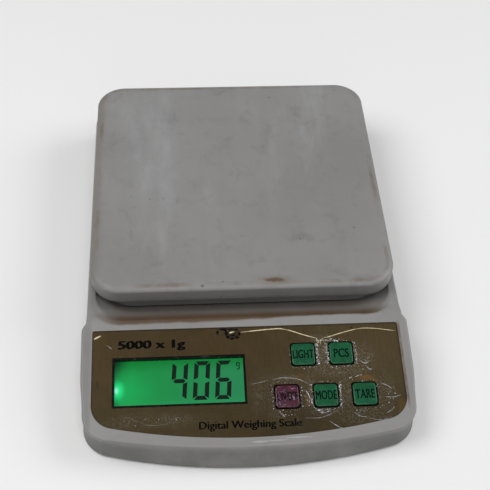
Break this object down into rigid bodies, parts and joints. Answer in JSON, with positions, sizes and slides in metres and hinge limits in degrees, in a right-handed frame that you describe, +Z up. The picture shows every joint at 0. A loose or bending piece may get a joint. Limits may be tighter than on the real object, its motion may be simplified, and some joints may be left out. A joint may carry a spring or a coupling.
{
  "type": "electronic weighing scale",
  "caption": "Low table-top electronic scale: white housing with a tilted brass-coloured control head, lit display, square keys and a soft-edged square platform on a bar load cell.",
  "frame": {"origin": "on the table, at the middle of the bounding box's underside", "axes": "+X to the user's right, +Y from the control head to the rear, +Z up"},
  "size_m": [0.18, 0.256, 0.041],
  "materials": {
    "case_plastic": "off-white moulded plastic, used, stained in the corners",
    "tray_plastic": "white moulded plastic, finely scratched",
    "panel_brass_print": "brushed brass-coloured printed overlay",
    "clear_film": "clear protective film, creased",
    "display_black": "black",
    "display_window": "clear acrylic",
    "display_glass": "green lit liquid crystal display",
    "foam_black": "foam",
    "light_guide": "frosted acrylic",
    "reflector_white": "white film",
    "led_green": "clear epoxy",
    "contact_elastomer": "striped silicone",
    "circuit_board": "solder mask",
    "chip_epoxy": "epoxy blob",
    "component_blue": "sleeved and moulded parts",
    "plug_nylon": "natural nylon",
    "switch_black": "moulded",
    "screw_steel": "zinc plated",
    "key_red": "worn dark red",
    "key_green": "green",
    "cell_aluminium": "machined",
    "silicone_white": "cast silicone",
    "cable_grey": "sheath",
    "lead_red": "insulation",
    "lead_black": "insulation",
    "contact_nickel": "nickel plated spring steel",
    "battery_jacket": "plain jacket",
    "foot_rubber": "moulded"
  },
  "bodies": {
    "housing": {"upper_case": "case_plastic", "lower_case": "case_plastic", "panel_overlay": "panel_brass_print", "protective_film": "clear_film", "lcd_bezel": "display_black", "lcd_window": "display_window", "lcd_gasket": "foam_black", "lcd_glass": "display_glass", "lcd_holder": "display_black", "backlight_guide": "light_guide", "backlight_reflector": "reflector_white", "backlight_led": "led_green", "zebra_strips": "contact_elastomer", "main_board": "circuit_board", "controller_chip": "chip_epoxy", "board_components": "component_blue", "sensor_plug": "plug_nylon", "battery_plug": "plug_nylon", "tact_switches": "switch_black", "board_screws": "screw_steel", "load_cell": "cell_aluminium", "strain_gauge_covers": "silicone_white", "base_cell_screws": "screw_steel", "overload_stops": "screw_steel", "sensor_cable": "cable_grey", "battery_lead_positive": "lead_red", "battery_lead_negative": "lead_black", "contact_positive": "contact_nickel", "contact_negative": "contact_nickel", "battery_cell_left": "battery_jacket", "battery_cell_right": "battery_jacket", "case_screws": "screw_steel", "foot_front_left": "foot_rubber", "foot_front_right": "foot_rubber", "foot_rear_left": "foot_rubber", "foot_rear_right": "foot_rubber"},
    "platform": {"platform_tray": "tray_plastic", "platform_carrier": "tray_plastic", "upper_spacer": "cell_aluminium", "platform_cell_screws": "screw_steel"},
    "power_key": {"key_power": "key_red", "plunger_power": "switch_black"},
    "unit_key": {"key_unit": "key_green", "plunger_unit": "switch_black"},
    "zero_key": {"key_zero": "key_green", "plunger_zero": "switch_black"},
    "light_key": {"key_light": "key_green", "plunger_light": "switch_black"},
    "count_key": {"key_count": "key_green", "plunger_count": "switch_black"},
    "door": {"battery_door": "case_plastic"}
  },
  "joints": [
    {"name": "platform_press", "type": "slide", "parent": "housing", "child": "platform", "axis": [0, 0, -1], "range_m": [0, 0.001], "stiffness_N_per_m": 60000, "deforming": ["load_cell"]},
    {"name": "power_key_press", "type": "slide", "parent": "housing", "child": "power_key", "axis": [0, 0.1724, -0.985], "range_m": [0, 0.0005], "stiffness_N_per_m": 1000, "springref_m": -0.0003},
    {"name": "unit_key_press", "type": "slide", "parent": "housing", "child": "unit_key", "axis": [0, 0.1724, -0.985], "range_m": [0, 0.0005], "stiffness_N_per_m": 1000, "springref_m": -0.0003},
    {"name": "zero_key_press", "type": "slide", "parent": "housing", "child": "zero_key", "axis": [0, 0.1724, -0.985], "range_m": [0, 0.0005], "stiffness_N_per_m": 1000, "springref_m": -0.0003},
    {"name": "light_key_press", "type": "slide", "parent": "housing", "child": "light_key", "axis": [0, 0.1724, -0.985], "range_m": [0, 0.0005], "stiffness_N_per_m": 1000, "springref_m": -0.0003},
    {"name": "count_key_press", "type": "slide", "parent": "housing", "child": "count_key", "axis": [0, 0.1724, -0.985], "range_m": [0, 0.0005], "stiffness_N_per_m": 1000, "springref_m": -0.0003},
    {"name": "battery_door_slide", "type": "slide", "parent": "housing", "child": "door", "axis": [0, -1, 0], "range_m": [0, 0.006]}
  ]
}
